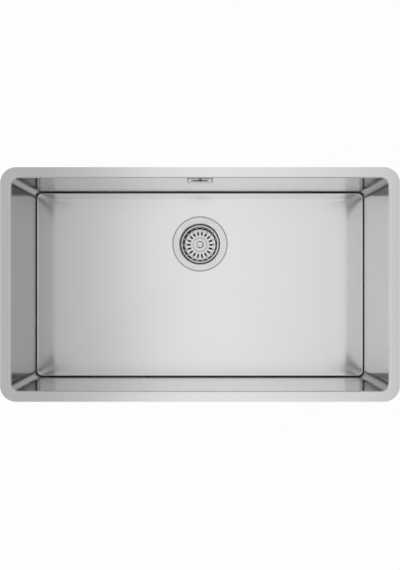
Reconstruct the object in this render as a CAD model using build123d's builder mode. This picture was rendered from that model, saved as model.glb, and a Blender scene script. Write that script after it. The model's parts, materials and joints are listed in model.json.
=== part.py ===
"""Undermount kitchen sink: pressed steel bowl, basket strainer waste, overflow and swinging fixing clips.

All sizes are in millimetres. The origin is the middle of the flange's top face, which meets the underside
of the worktop. X runs along the long side, Y towards the back, where the waste and the overflow are, and
Z up.
"""

import math
import os

from build123d import *

os.makedirs("parts", exist_ok=True)

# How far a cutter runs past the face that it cuts, and the smallest edge break
past = 1.0
edge_break = 0.3

# Bowl
sheet = 1.0
flange_length, flange_width, flange_radius = 750.0, 440.0, 30.0
bowl_length, bowl_width, bowl_radius = 710.0, 400.0, 15.0
bowl_depth = 200.0
mouth_bend = 2.5
floor_bend = 4.5
wall_y = bowl_width / 2
outer_x = bowl_length / 2 + sheet
outer_y = wall_y + sheet

# Floor: a level border, then a fall of 2 mm to the waste
border = 15.0
floor_fall = 2.0
border_radius = 8.0
waste_y = 88.0
fall_side, fall_radius = 124.0, 40.0
floor_low = -bowl_depth - floor_fall

# Recess in the floor for the waste
recess_radius = 59.4
recess_depth = 2.2
recess_edge = 0.8
recess_hole_radius = 45.0
ledge_top = floor_low - recess_depth
ledge_underside = ledge_top - sheet

# Strainer cup
cup_flange_radius = 57.7
cup_radius = 42.0
cup_roll = 4.5
cup_floor = -245.0
drain_hole_radius, drain_hole_circle, drain_hole_count = 6.5, 16.0, 6
screw_radius = 3.0
screw_clearance = 3.2

# Gaskets of the waste
cup_gasket_inner, cup_gasket_outer = 47.0, 58.6
body_gasket_inner, body_gasket_outer, body_gasket_height = 46.0, 56.0, 3.0

# Waste body
body_top = ledge_underside - body_gasket_height
body_flange_radius, body_flange_height = 57.0, 4.0
body_flange_underside = body_top - body_flange_height
body_inner, body_outer = 46.0, 49.0
body_shoulder, body_neck = -255.0, -267.0
inner_shoulder, inner_neck = -254.0, -265.0
hub_radius, hub_top, hub_bottom = 9.0, -250.0, -264.0
rib_thickness, rib_count, rib_bottom = 2.5, 3, -257.0
gusset_count, gusset_reach, gusset_bottom = 8, 56.0, -229.0
insert_radius, insert_bore, insert_length = 5.0, 3.05, 12.0
inlet_z = -232.0
inlet_radius, inlet_bore = 12.4, 8.0
inlet_end = waste_y + 70.0

# Threaded outlet bonded under the neck
outlet_radius, outlet_bore, outlet_end = 23.9, 20.5, -287.0

# Centre screw
screw_head_radius, screw_head_height, screw_head_round = 7.0, 2.4, 1.4
screw_cross_length, screw_cross_width, screw_cross_depth = 7.0, 1.2, 1.4
screw_length = 18.0

# Basket
basket_skin = 0.8
basket_rim_z = -210.0
basket_rim_radius, basket_rim_drop, basket_rim_bend = 41.5, 2.2, 1.2
basket_mouth_radius = 37.7
basket_foot_radius, basket_foot_bend = 35.8, 4.5
basket_floor = -233.2
slot_count = 18
slot_width = 3.8
slot_inner, slot_outer = 20.4, 36.4
slot_top = -226.0
disc_radius, disc_height, disc_edge = 15.7, 2.0, 1.3
post_radius, post_top, post_foot_bend = 6.4, -222.5, 1.2
knob_radius, knob_top, knob_skirt_end, knob_dome = 7.6, -219.0, -226.0, 2.6
stem_radius, stem_bore = 3.0, 3.05
stem_head_radius, stem_head_top, stem_head_height = 5.0, -220.9, 1.5
knob_cavity_radius, knob_cavity_top = 5.6, -220.5
stem_end = -241.5

# Plug
plug_washer_radius, plug_washer_top, plug_washer_height = 9.0, -234.4, 0.8
plug_radius, plug_lip_bottom, plug_lip_width, plug_lip_height = 28.5, -244.7, 2.2, 3.4
plug_skin = 2.4
plug_hub_top_radius, plug_hub_bottom_radius, plug_hub_bottom = 12.0, 11.0, -238.6
plug_nut_size = 10.0

# Overflow
slot_hole_length, slot_hole_height, slot_hole_z = 34.0, 14.0, -37.0
cover_length, cover_height, cover_top = 48.0, 24.0, -18.4
cover_standoff = 5.5
cover_bend, cover_edge = 1.6, 0.4
stud_radius, stud_clearance = 2.5, 0.1
overflow_gasket_thick = 2.0
overflow_gasket_length, overflow_gasket_height, overflow_gasket_gap = 46.0, 26.0, 1.0
housing_length, housing_height, housing_radius, housing_edge = 50.0, 28.0, 8.0, 2.0
housing_front = outer_y + overflow_gasket_thick
housing_back = 223.5
housing_wall = 2.0
column_radius, pocket_radius, pocket_depth = 7.0, 5.2, 5.0
overflow_nut_size, overflow_nut_height = 8.0, 4.0
pipe_y = 214.0
spigot_radius, spigot_bore, spigot_end = 9.0, 7.2, -72.0
ring_z, groove_height, groove_radius = -64.0, 1.8, 8.0
ring_squeeze = 0.03

# Overflow pipe
pipe_radius, pipe_bore, pipe_wall = 10.0, 8.4, 1.2
socket_radius, socket_bore, socket_top, socket_floor = 11.4, 9.15, -54.0, -73.0
socket_bottom, socket_taper = -76.0, 2.0
bellows_top, bellows_pitch, bellows_count = -88.0, 6.0, 16
bellows_crest, bellows_root = 11.0, 9.2
crest_start, crest_end = 0.35, 0.65
elbow_radius = 20.0
washer_thickness = 2.0
collar_radius, collar_thickness = 12.0, 2.5
pipe_end = inlet_end + washer_thickness
union_radius, union_length, union_shoulder = 15.5, 20.0, 3.4
union_ribs, union_rib_radius = 16, 1.2
union_clearance, union_pipe_clearance = 0.05, 0.3

# Sound-deadening pads
pad_thickness = 2.5
pad_top, pad_bottom = -60.0, -160.0
pad_corner, floor_pad_corner = 8.0, 20.0
front_pad_length, back_pad_length, end_pad_length = 600.0, 220.0, 280.0
back_pad_x = 190.0
floor_pad_inner, floor_pad_outer = 80.0, 320.0
floor_pad_half_width = 160.0
floor_pad_bottom = -206.0

# Fixing clips, in each clip's own frame: x along the stowed arm, -y away from the wall
pivot_offset = 9.5
clip_spread_x, clip_spread_y = 200.0, 100.0
lug_thickness, lug_width, lug_reach = 1.5, 20.0, 16.5
lug_top, lug_foot, lug_bend, lug_corner = -12.0, -32.0, 2.5, 5.0
clip_gap = 0.1
clip_thickness, clip_width = 2.0, 14.0
clip_step_x, clip_end_x = 16.0, 34.0
clip_foot_top = -1.3
clip_end_corner, clip_bend = 3.0, 0.8
clip_hole_x, clip_hole_radius = 26.0, 2.5
pivot_radius, pivot_bore = 2.5, 2.55
pivot_head_radius, pivot_head_height, pivot_head_round = 4.6, 3.0, 1.2
pivot_end = -4.6
pivot_nut_size, pivot_nut_height = 8.0, 4.0

clip_places = {
    "clip_front_left": Location((-clip_spread_x, -outer_y - pivot_offset, 0), (0, 0, 0)),
    "clip_front_right": Location((clip_spread_x, -outer_y - pivot_offset, 0), (0, 0, 0)),
    "clip_right_front": Location((outer_x + pivot_offset, -clip_spread_y, 0), (0, 0, 90)),
    "clip_right_back": Location((outer_x + pivot_offset, clip_spread_y, 0), (0, 0, 90)),
    "clip_back_right": Location((clip_spread_x, outer_y + pivot_offset, 0), (0, 0, 180)),
    "clip_back_left": Location((-clip_spread_x, outer_y + pivot_offset, 0), (0, 0, 180)),
    "clip_left_back": Location((-outer_x - pivot_offset, clip_spread_y, 0), (0, 0, 270)),
    "clip_left_front": Location((-outer_x - pivot_offset, -clip_spread_y, 0), (0, 0, 270)),
}


def save(part, name):
    """Label a finished piece and write it under its own name."""
    part.label = name
    export_step(part, f"parts/{name}.step")


def waste_plane(z):
    """Level plane at height z with its origin on the waste's axis."""
    return Plane((0, waste_y, z))


def section_plane(turn=0):
    """Upright plane through the waste's axis, turned by so many degrees: x is the radius, y the height."""
    across, along = math.cos(math.radians(turn)), math.sin(math.radians(turn))
    return Plane((0, waste_y, 0), x_dir=(across, along, 0), z_dir=(along, -across, 0))


def upright_plane(y, z, facing=1):
    """Plane across the y axis at y and z, on x = 0, facing the back (1) or the front (-1)."""
    return Plane((0, y, z), x_dir=(1, 0, 0), z_dir=(0, facing, 0))


waste_axis = Axis((0, waste_y, 0), (0, 0, 1))
pipe_axis = Axis((0, pipe_y, 0), (0, 0, 1))


def bowl_form(grow):
    """Solid with the shape of the bowl's inside, larger all round by grow."""
    with BuildPart() as form:
        with BuildSketch():
            RectangleRounded(bowl_length + 2 * grow, bowl_width + 2 * grow, bowl_radius + grow)
        extrude(amount=-bowl_depth - grow)
        fillet(form.faces().sort_by(Axis.Z)[0].edges(), floor_bend + grow)
        with BuildSketch(Plane.XY.offset(-bowl_depth - grow)):
            RectangleRounded(bowl_length - 2 * border, bowl_width - 2 * border, border_radius)
        with BuildSketch(waste_plane(floor_low - grow)):
            RectangleRounded(fall_side, fall_side, fall_radius)
        loft(ruled=True)
        with BuildSketch(waste_plane(-bowl_depth)):
            Circle(recess_radius + grow)
        extrude(amount=ledge_top - grow + bowl_depth)
    return form.part


# Bowl
with BuildPart() as bowl:
    add(bowl_form(sheet))
    with BuildSketch(Plane.XY.offset(-sheet)):
        RectangleRounded(flange_length, flange_width, flange_radius)
    extrude(amount=sheet)
    under_bend = (
        bowl.edges().filter_by_position(Axis.Z, -sheet - edge_break, -sheet + edge_break)
        .filter_by_position(Axis.X, -outer_x - edge_break, outer_x + edge_break)
        .filter_by_position(Axis.Y, -outer_y - edge_break, outer_y + edge_break)
    )
    fillet(under_bend, mouth_bend - sheet)
    add(bowl_form(0), mode=Mode.SUBTRACT)
    fillet(bowl.faces().sort_by(Axis.Z)[-1].inner_wires()[0].edges(), mouth_bend)
    recess_rims = bowl.edges().filter_by(GeomType.CIRCLE).filter_by_position(
        Axis.Z, floor_low - edge_break, floor_low + edge_break
    )
    fillet(recess_rims.filter_by(lambda edge: abs(edge.radius - recess_radius) < edge_break), recess_edge)
    with BuildSketch(waste_plane(-bowl_depth)):
        Circle(recess_hole_radius)
    extrude(amount=-bowl_depth, mode=Mode.SUBTRACT)
    with BuildSketch(upright_plane(outer_y + past, slot_hole_z, -1)):
        SlotOverall(slot_hole_length, slot_hole_height)
    extrude(amount=sheet + 2 * past, mode=Mode.SUBTRACT)
save(bowl.part, "bowl")

# Strainer cup
with BuildPart() as strainer_cup:
    with BuildSketch(section_plane()):
        with BuildLine():
            FilletPolyline(
                (cup_flange_radius, floor_low),
                (cup_radius, floor_low),
                (cup_radius, cup_floor),
                (screw_clearance, cup_floor),
                radius=cup_roll,
            )
            offset(amount=sheet, side=Side.LEFT)
        make_face()
    revolve(axis=waste_axis)
    with BuildSketch(waste_plane(cup_floor + past)):
        with PolarLocations(drain_hole_circle, drain_hole_count):
            Circle(drain_hole_radius)
    extrude(amount=-sheet - 2 * past, mode=Mode.SUBTRACT)
save(strainer_cup.part, "strainer_cup")

# Gaskets that seal the cup's flange and the waste body to the floor
with BuildPart() as cup_gasket:
    with BuildSketch(waste_plane(ledge_top)):
        Circle(cup_gasket_outer)
        Circle(cup_gasket_inner, mode=Mode.SUBTRACT)
    extrude(amount=floor_low - sheet - ledge_top)
save(cup_gasket.part, "cup_gasket")

with BuildPart() as body_gasket:
    with BuildSketch(waste_plane(body_top)):
        Circle(body_gasket_outer)
        Circle(body_gasket_inner, mode=Mode.SUBTRACT)
    extrude(amount=body_gasket_height)
save(body_gasket.part, "body_gasket")

# Waste body: outside, then the hollow, then the hub on its ribs
with BuildPart() as waste_body:
    with BuildSketch(section_plane()):
        with BuildLine():
            Polyline(
                (0, body_top),
                (body_flange_radius, body_top),
                (body_flange_radius, body_flange_underside),
                (body_outer, body_flange_underside),
                (body_outer, body_shoulder),
                (outlet_radius, body_neck),
                (0, body_neck),
                close=True,
            )
        make_face()
    revolve(axis=waste_axis)
    for number in range(gusset_count):
        with BuildSketch(section_plane(360 / gusset_count * (number + 0.5))):
            with BuildLine():
                Polyline(
                    (body_inner + past, body_flange_underside),
                    (gusset_reach, body_flange_underside),
                    (body_outer, gusset_bottom),
                    (body_inner + past, gusset_bottom),
                    close=True,
                )
            make_face()
        extrude(amount=rib_thickness / 2, both=True)
    with BuildSketch(upright_plane(waste_y + hub_radius, inlet_z)):
        Circle(inlet_radius)
    extrude(amount=inlet_end - waste_y - hub_radius)
    with BuildSketch(section_plane()):
        with BuildLine():
            Polyline(
                (0, body_top),
                (body_inner, body_top),
                (body_inner, inner_shoulder),
                (outlet_bore, inner_neck),
                (outlet_bore, body_neck - past),
                (0, body_neck - past),
                close=True,
            )
        make_face()
    revolve(axis=waste_axis, mode=Mode.SUBTRACT)
    with BuildSketch(upright_plane(waste_y + hub_radius, inlet_z)):
        Circle(inlet_bore)
    extrude(amount=inlet_end - waste_y - hub_radius, mode=Mode.SUBTRACT)
    with BuildSketch(waste_plane(hub_bottom)):
        Circle(hub_radius)
    extrude(amount=hub_top - hub_bottom)
    with BuildSketch(waste_plane(rib_bottom)):
        with PolarLocations(body_inner / 2, rib_count, start_angle=90):
            Rectangle(body_inner + past, rib_thickness)
    extrude(amount=hub_top - rib_bottom)
    with BuildSketch(waste_plane(hub_top)):
        Circle(insert_radius)
    extrude(amount=-insert_length, mode=Mode.SUBTRACT)
    with BuildSketch(waste_plane(hub_top)):
        Circle(screw_clearance)
    extrude(amount=hub_bottom - hub_top, mode=Mode.SUBTRACT)
save(waste_body.part, "waste_body")

# Outlet that the trap's nut screws on to
with BuildPart() as outlet_spigot:
    with BuildSketch(waste_plane(body_neck)):
        Circle(outlet_radius)
        Circle(outlet_bore, mode=Mode.SUBTRACT)
    extrude(amount=outlet_end - body_neck)
save(outlet_spigot.part, "outlet_spigot")

with BuildPart() as hub_insert:
    with BuildSketch(waste_plane(hub_top)):
        Circle(insert_radius)
        Circle(insert_bore, mode=Mode.SUBTRACT)
    extrude(amount=-insert_length)
save(hub_insert.part, "hub_insert")

# Centre screw: pan head with a cross slot
with BuildPart() as centre_screw:
    with BuildSketch(waste_plane(cup_floor)):
        Circle(screw_head_radius)
    extrude(amount=screw_head_height)
    fillet(centre_screw.faces().sort_by(Axis.Z)[-1].edges(), screw_head_round)
    with BuildSketch(waste_plane(cup_floor)):
        Circle(screw_radius)
    extrude(amount=-screw_length)
    with BuildSketch(waste_plane(cup_floor + screw_head_height)):
        Rectangle(screw_cross_length, screw_cross_width)
        Rectangle(screw_cross_width, screw_cross_length)
    extrude(amount=-screw_cross_depth, mode=Mode.SUBTRACT)
save(centre_screw.part, "centre_screw")

# Basket: skin turned from its section, then the radial slots, which run up the side
with BuildPart() as basket_shell:
    with BuildSketch(section_plane()):
        with BuildLine():
            FilletPolyline(
                (basket_rim_radius, basket_rim_z - basket_rim_drop),
                (basket_rim_radius, basket_rim_z),
                (basket_mouth_radius, basket_rim_z),
                (basket_foot_radius, basket_floor),
                (stem_bore, basket_floor),
                radius=(basket_rim_bend, basket_rim_bend, basket_foot_bend),
            )
            offset(amount=basket_skin, side=Side.RIGHT)
        make_face()
    revolve(axis=waste_axis)
    with BuildSketch(waste_plane(basket_floor - basket_skin - past)):
        with PolarLocations((slot_inner + slot_outer) / 2, slot_count):
            SlotOverall(slot_outer - slot_inner, slot_width)
    extrude(amount=slot_top - basket_floor + basket_skin + past, mode=Mode.SUBTRACT)
save(basket_shell.part, "basket_shell")

# Disc and post in the middle of the basket
with BuildPart() as basket_boss:
    with BuildSketch(section_plane()):
        with BuildLine():
            FilletPolyline(
                (stem_bore, basket_floor),
                (disc_radius, basket_floor),
                (disc_radius, basket_floor + disc_height),
                (post_radius, basket_floor + disc_height),
                (post_radius, post_top),
                (stem_bore, post_top),
                radius=(edge_break, disc_edge, post_foot_bend, edge_break),
            )
            Line((stem_bore, post_top), (stem_bore, basket_floor))
        make_face()
    revolve(axis=waste_axis)
save(basket_boss.part, "basket_boss")

# Knob: a domed cap over the post, hollow for the stem's head
with BuildPart() as basket_knob:
    with BuildSketch(waste_plane(knob_skirt_end)):
        Circle(knob_radius)
    extrude(amount=knob_top - knob_skirt_end)
    fillet(basket_knob.faces().sort_by(Axis.Z)[-1].edges(), knob_dome)
    with BuildSketch(waste_plane(knob_skirt_end)):
        Circle(post_radius)
    extrude(amount=post_top - knob_skirt_end, mode=Mode.SUBTRACT)
    with BuildSketch(waste_plane(post_top)):
        Circle(knob_cavity_radius)
    extrude(amount=knob_cavity_top - post_top, mode=Mode.SUBTRACT)
save(basket_knob.part, "basket_knob")

# Stem, plug washer, rubber plug and plug nut
with BuildPart() as basket_stem:
    with BuildSketch(waste_plane(stem_end)):
        Circle(stem_radius)
    extrude(amount=stem_head_top - stem_end)
    with BuildSketch(waste_plane(stem_head_top - stem_head_height)):
        Circle(stem_head_radius)
    extrude(amount=stem_head_height)
save(basket_stem.part, "basket_stem")

with BuildPart() as plug_washer:
    with BuildSketch(waste_plane(plug_washer_top)):
        Circle(plug_washer_radius)
        Circle(stem_bore, mode=Mode.SUBTRACT)
    extrude(amount=-plug_washer_height)
save(plug_washer.part, "plug_washer")

with BuildPart() as rubber_plug:
    plug_hub_top = plug_washer_top - plug_washer_height
    with BuildSketch(section_plane()):
        with BuildLine():
            Polyline(
                (stem_bore, plug_hub_top),
                (plug_hub_top_radius, plug_hub_top),
                (plug_radius, plug_lip_bottom + plug_lip_height),
                (plug_radius, plug_lip_bottom),
                (plug_radius - plug_lip_width, plug_lip_bottom),
                (plug_radius - plug_lip_width, plug_lip_bottom + plug_lip_height - plug_skin),
                (plug_hub_bottom_radius, plug_hub_bottom),
                (stem_bore, plug_hub_bottom),
                close=True,
            )
        make_face()
    revolve(axis=waste_axis)
save(rubber_plug.part, "rubber_plug")

with BuildPart() as plug_nut:
    with BuildSketch(waste_plane(plug_hub_bottom)):
        RegularPolygon(plug_nut_size / 2, 6, major_radius=False)
        Circle(stem_bore, mode=Mode.SUBTRACT)
    extrude(amount=stem_end - plug_hub_bottom)
save(plug_nut.part, "plug_nut")

# Overflow cover: plate with two returned ends that stand on the wall, and a welded stud
cover_face_y = wall_y - cover_standoff
with BuildPart() as overflow_cover:
    with BuildSketch(Plane.XY.offset(cover_top)):
        with BuildLine():
            FilletPolyline(
                (-cover_length / 2, wall_y),
                (-cover_length / 2, cover_face_y),
                (cover_length / 2, cover_face_y),
                (cover_length / 2, wall_y),
                radius=cover_bend,
            )
            offset(amount=sheet, side=Side.LEFT)
        make_face()
    extrude(amount=-cover_height)
    fillet(overflow_cover.faces().sort_by(Axis.Z)[-1].edges().filter_by(Plane.XY), cover_edge)
    with BuildSketch(upright_plane(cover_face_y + sheet, slot_hole_z)):
        Circle(stud_radius)
    extrude(amount=housing_back - pocket_depth + overflow_nut_height - cover_face_y - sheet)
save(overflow_cover.part, "overflow_cover")

with BuildPart() as overflow_gasket:
    with BuildSketch(upright_plane(outer_y, slot_hole_z)):
        SlotOverall(overflow_gasket_length, overflow_gasket_height)
        SlotOverall(
            slot_hole_length + 2 * overflow_gasket_gap,
            slot_hole_height + 2 * overflow_gasket_gap,
            mode=Mode.SUBTRACT,
        )
    extrude(amount=overflow_gasket_thick)
save(overflow_gasket.part, "overflow_gasket")

# Overflow housing: shallow chamber with a column round the stud and a spigot below
front_plane = upright_plane(housing_front, slot_hole_z)
with BuildPart() as overflow_housing:
    with BuildSketch(front_plane):
        RectangleRounded(housing_length, housing_height, housing_radius)
    extrude(amount=housing_back - housing_front)
    fillet(overflow_housing.faces().sort_by(Axis.Y)[-1].edges(), housing_edge)
    with BuildSketch(Plane((0, pipe_y, spigot_end))):
        Circle(spigot_radius)
    extrude(amount=slot_hole_z - spigot_end)
    with BuildSketch(front_plane):
        RectangleRounded(
            housing_length - 2 * housing_wall,
            housing_height - 2 * housing_wall,
            housing_radius - housing_wall,
        )
    extrude(amount=housing_back - housing_wall - housing_front, mode=Mode.SUBTRACT)
    with BuildSketch(Plane((0, pipe_y, spigot_end))):
        Circle(spigot_bore)
    extrude(amount=slot_hole_z - spigot_end, mode=Mode.SUBTRACT)
    with BuildSketch(front_plane):
        Circle(column_radius)
    extrude(amount=housing_back - housing_front)
    with BuildSketch(upright_plane(housing_back - pocket_depth, slot_hole_z)):
        Circle(pocket_radius)
    extrude(amount=pocket_depth, mode=Mode.SUBTRACT)
    with BuildSketch(front_plane):
        Circle(stud_radius + stud_clearance)
    extrude(amount=housing_back - housing_front, mode=Mode.SUBTRACT)
    with BuildSketch(Plane((0, pipe_y, ring_z - groove_height / 2))):
        Circle(spigot_radius)
        Circle(groove_radius, mode=Mode.SUBTRACT)
    extrude(amount=groove_height, mode=Mode.SUBTRACT)
save(overflow_housing.part, "overflow_housing")

with BuildPart() as overflow_nut:
    with BuildSketch(upright_plane(housing_back - pocket_depth, slot_hole_z)):
        RegularPolygon(overflow_nut_size / 2, 6, major_radius=False)
        Circle(stud_radius + stud_clearance, mode=Mode.SUBTRACT)
    extrude(amount=overflow_nut_height)
save(overflow_nut.part, "overflow_nut")

# Seal ring in the spigot's groove, a little flattened by the socket around it
with BuildPart() as overflow_o_ring:
    with BuildSketch(upright_plane(pipe_y, ring_z, -1)):
        with Locations(((groove_radius + socket_bore) / 2, 0)):
            Ellipse((socket_bore - groove_radius) / 2 - ring_squeeze, groove_height / 2 - ring_squeeze)
    revolve(axis=pipe_axis)
save(overflow_o_ring.part, "overflow_o_ring")


bellows_bottom = bellows_top - bellows_count * bellows_pitch


def bellows_line(crest, root):
    """Points down one side of the bellows: a crest and a root for each rib."""
    points = []
    for rib in range(bellows_count):
        rib_top = bellows_top - rib * bellows_pitch
        points.append((root, rib_top))
        points.append((crest, rib_top - crest_start * bellows_pitch))
        points.append((crest, rib_top - crest_end * bellows_pitch))
    points.append((root, bellows_bottom))
    return points


# Overflow pipe: socket, bellows, elbow and the collared end at the waste body
elbow_top = inlet_z + elbow_radius
with BuildPart() as overflow_pipe:
    with BuildSketch(upright_plane(pipe_y, 0, -1)):
        with BuildLine():
            outside = [(socket_radius, socket_top), (socket_radius, socket_bottom)]
            outside += [(pipe_radius, socket_bottom - socket_taper)]
            outside += bellows_line(bellows_crest, bellows_root)
            outside += [(pipe_radius, bellows_bottom - socket_taper), (pipe_radius, elbow_top)]
            inside = [(socket_bore, socket_top), (socket_bore, socket_floor), (pipe_bore, socket_floor)]
            inside += bellows_line(bellows_crest - pipe_wall, bellows_root - pipe_wall)
            inside += [(pipe_bore, elbow_top)]
            Polyline(*outside, *reversed(inside), close=True)
        make_face()
    revolve(axis=pipe_axis)
    with BuildSketch(Plane((0, pipe_y, elbow_top))):
        Circle(pipe_radius)
        Circle(pipe_bore, mode=Mode.SUBTRACT)
    revolve(axis=Axis((0, pipe_y - elbow_radius, elbow_top), (-1, 0, 0)), revolution_arc=90)
    with BuildSketch(upright_plane(pipe_end, inlet_z)):
        Circle(pipe_radius)
        Circle(pipe_bore, mode=Mode.SUBTRACT)
    extrude(amount=pipe_y - elbow_radius - pipe_end)
    with BuildSketch(upright_plane(pipe_end, inlet_z)):
        Circle(collar_radius)
        Circle(pipe_bore, mode=Mode.SUBTRACT)
    extrude(amount=collar_thickness)
save(overflow_pipe.part, "overflow_pipe")

with BuildPart() as overflow_washer:
    with BuildSketch(upright_plane(inlet_end, inlet_z)):
        Circle(collar_radius)
        Circle(inlet_bore, mode=Mode.SUBTRACT)
    extrude(amount=washer_thickness)
save(overflow_washer.part, "overflow_washer")

# Union nut with finger ribs round it
union_back = pipe_end + collar_thickness + union_shoulder
with BuildPart() as overflow_union_nut:
    with BuildSketch(upright_plane(union_back, inlet_z, -1)):
        Circle(union_radius)
        with PolarLocations(union_radius, union_ribs):
            Circle(union_rib_radius)
    extrude(amount=union_length)
    with BuildSketch(upright_plane(union_back - union_shoulder, inlet_z, -1)):
        Circle(inlet_radius + union_clearance)
    extrude(amount=union_length, mode=Mode.SUBTRACT)
    with BuildSketch(upright_plane(union_back, inlet_z, -1)):
        Circle(pipe_radius + union_pipe_clearance)
    extrude(amount=union_length, mode=Mode.SUBTRACT)
save(overflow_union_nut.part, "overflow_union_nut")

# Pads under the floor, whose tops follow its fall
bowl_outside = bowl_form(sheet)
floor_pad_middle = (floor_pad_inner + floor_pad_outer) / 2
for name, side in (("floor_pad_left", -1), ("floor_pad_right", 1)):
    with BuildPart() as floor_pad:
        with BuildSketch(Plane((side * floor_pad_middle, 0, floor_pad_bottom))):
            RectangleRounded(floor_pad_outer - floor_pad_inner, 2 * floor_pad_half_width, floor_pad_corner)
        extrude(amount=-bowl_depth - floor_pad_bottom)
        add(bowl_outside, mode=Mode.SUBTRACT)
    save(floor_pad.part, name)

# Pads on the walls: the plane lies on the wall's outer face, and its z points away from the bowl
wall_pads = {
    "front_pad": ((0, -outer_y), (0, -1, 0), front_pad_length),
    "back_pad_left": ((-back_pad_x, outer_y), (0, 1, 0), back_pad_length),
    "back_pad_right": ((back_pad_x, outer_y), (0, 1, 0), back_pad_length),
    "left_pad": ((-outer_x, 0), (-1, 0, 0), end_pad_length),
    "right_pad": ((outer_x, 0), (1, 0, 0), end_pad_length),
}
pad_middle = (pad_top + pad_bottom) / 2
for name, ((x, y), away, length) in wall_pads.items():
    with BuildPart() as wall_pad:
        with BuildSketch(Plane((x, y, pad_middle), x_dir=(-away[1], away[0], 0), z_dir=away)):
            RectangleRounded(length, pad_top - pad_bottom, pad_corner)
        extrude(amount=pad_thickness)
    save(wall_pad.part, name)

# Lug: an angle welded to the wall, with the pivot's hole in its level leg
with BuildPart() as lug_blank:
    with BuildSketch(Plane((-lug_width / 2, 0, 0), x_dir=(0, 1, 0), z_dir=(1, 0, 0))):
        with BuildLine():
            FilletPolyline(
                (pivot_offset - lug_reach, lug_top),
                (pivot_offset, lug_top),
                (pivot_offset, lug_foot),
                radius=lug_bend,
            )
            offset(amount=lug_thickness, side=Side.RIGHT)
        make_face()
    extrude(amount=lug_width)
    fillet(lug_blank.edges().filter_by(Axis.Z).group_by(Axis.Y)[0], lug_corner)
    with BuildSketch(Plane.XY.offset(lug_top)):
        Circle(pivot_bore)
    extrude(amount=-lug_thickness, mode=Mode.SUBTRACT)

# Clip: a strip stepped up to the worktop, round at the pivot
clip_arm_bottom = lug_top + clip_gap
clip_arm_top = clip_arm_bottom + clip_thickness
clip_foot_bottom = clip_foot_top - clip_thickness
with BuildPart() as clip_blank:
    with BuildSketch(Plane((0, clip_width / 2, 0), x_dir=(1, 0, 0), z_dir=(0, -1, 0))):
        with BuildLine():
            Polyline(
                (-clip_width / 2, clip_arm_bottom),
                (clip_step_x + clip_thickness, clip_arm_bottom),
                (clip_step_x + clip_thickness, clip_foot_bottom),
                (clip_end_x, clip_foot_bottom),
                (clip_end_x, clip_foot_top),
                (clip_step_x, clip_foot_top),
                (clip_step_x, clip_arm_top),
                (-clip_width / 2, clip_arm_top),
                close=True,
            )
        make_face()
    extrude(amount=clip_width)
    fillet(clip_blank.edges().filter_by(Axis.Z).group_by(Axis.X)[0], clip_width / 2 - edge_break)
    fillet(clip_blank.edges().filter_by(Axis.Z).group_by(Axis.X)[-1], clip_end_corner)
    fillet(
        clip_blank.edges().filter_by(Axis.Y)
        .filter_by_position(Axis.X, clip_step_x - edge_break, clip_step_x + clip_thickness + edge_break),
        clip_bend,
    )
    with BuildSketch(Plane.XY.offset(clip_arm_bottom)):
        Circle(pivot_bore)
    extrude(amount=clip_thickness, mode=Mode.SUBTRACT)
    with BuildSketch(Plane((clip_hole_x, 0, clip_foot_bottom))):
        Circle(clip_hole_radius)
    extrude(amount=clip_thickness, mode=Mode.SUBTRACT)

with BuildPart() as pivot_screw_blank:
    with BuildSketch(Plane.XY.offset(lug_top - lug_thickness)):
        Circle(pivot_head_radius)
    extrude(amount=-pivot_head_height)
    fillet(pivot_screw_blank.faces().sort_by(Axis.Z)[0].edges(), pivot_head_round)
    with BuildSketch(Plane.XY.offset(lug_top - lug_thickness)):
        Circle(pivot_radius)
    extrude(amount=pivot_end - lug_top + lug_thickness)

with BuildPart() as pivot_nut_blank:
    with BuildSketch(Plane.XY.offset(clip_arm_top + clip_gap)):
        RegularPolygon(pivot_nut_size / 2, 6, major_radius=False)
        Circle(pivot_bore, mode=Mode.SUBTRACT)
    extrude(amount=pivot_nut_height)

with BuildPart() as clip_lugs:
    with Locations(*clip_places.values()):
        add(lug_blank.part)
save(clip_lugs.part, "clip_lugs")

with BuildPart() as clip_screws:
    with Locations(*clip_places.values()):
        add(pivot_screw_blank.part)
save(clip_screws.part, "clip_screws")

with BuildPart() as clip_nuts:
    with Locations(*clip_places.values()):
        add(pivot_nut_blank.part)
save(clip_nuts.part, "clip_nuts")

for name, place in clip_places.items():
    with BuildPart() as clip:
        with Locations(place):
            add(clip_blank.part)
    save(clip.part, name)
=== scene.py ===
"""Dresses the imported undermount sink: finishes, threads, sockets, welds, pad studs and a plain studio."""

import json
import math

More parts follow.
